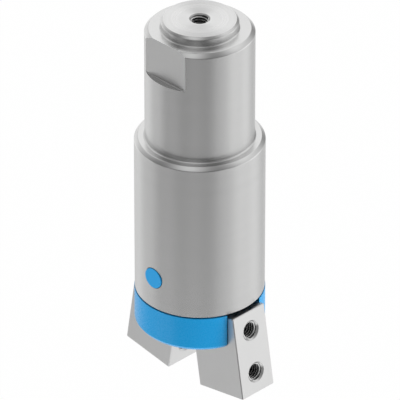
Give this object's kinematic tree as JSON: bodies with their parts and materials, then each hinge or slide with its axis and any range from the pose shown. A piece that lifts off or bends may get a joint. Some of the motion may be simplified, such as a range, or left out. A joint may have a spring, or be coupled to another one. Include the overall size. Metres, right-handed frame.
{
  "type": "angular gripper",
  "caption": "Slim round pneumatic angular gripper with a clamping shank, an air port on top, a blue slotted cover and a pair of swinging steel jaws with threaded holes.",
  "frame": {"origin": "centre of the shoulder where the shank meets the wider body", "axes": "+Z along the body's axis towards the air port, +X the way the right jaw opens, Y along the jaws' pivot pin, the shank's flat facing -Y"},
  "size_m": [0.0274, 0.0216, 0.0673],
  "materials": {
    "body_steel": "fine turned",
    "jaw_steel": "fine ground",
    "inner_steel": "machined",
    "pin_steel": "ground and polished",
    "cover_blue": "smooth",
    "plug_blue": "smooth",
    "bronze": "machined",
    "piston_alloy": "turned",
    "spring_steel": "drawn wire",
    "seal_rubber": "moulded",
    "guide_plastic": "smooth"
  },
  "bodies": {
    "body": {"housing": "body_steel", "cover": "cover_blue", "yoke": "inner_steel", "pivot_pin": "pin_steel", "pin_plug_front": "plug_blue", "pin_plug_rear": "plug_blue", "thrust_washer_front": "bronze", "thrust_washer_rear": "bronze", "return_spring": "spring_steel", "spring_seat": "inner_steel", "rod_bush": "bronze", "rod_wiper": "seal_rubber", "bumper": "seal_rubber"},
    "piston_group": {"piston": "piston_alloy", "piston_rod": "inner_steel", "drive_pin": "pin_steel", "piston_seal": "seal_rubber", "guide_ring": "guide_plastic", "piston_nut": "inner_steel"},
    "right": {"right_jaw": "jaw_steel", "pivot_bush_right_front": "bronze", "pivot_bush_right_rear": "bronze"},
    "left": {"left_jaw": "jaw_steel", "pivot_bush_left": "bronze"}
  },
  "joints": [
    {"name": "piston_slide", "type": "slide", "parent": "body", "child": "piston_group", "axis": [0, 0, -1], "range_m": [0, 0.0025], "stiffness_N_per_m": 1500, "springref_m": -0.006, "deforming": ["return_spring"]},
    {"name": "right_jaw_turn", "type": "hinge", "parent": "body", "child": "right", "pos_m": [0, 0, -0.02292], "axis": [0, 1, 0], "range_deg": [0, 9.25]},
    {"name": "left_jaw_turn", "type": "hinge", "parent": "body", "child": "left", "pos_m": [0, 0, -0.02292], "axis": [0, -1, 0], "range_deg": [0, 9.25]}
  ],
  "couplings": [
    {"joint": "right_jaw_turn", "follows": "piston_slide", "rad_per_m": 64.576},
    {"joint": "left_jaw_turn", "follows": "piston_slide", "rad_per_m": 64.576}
  ]
}
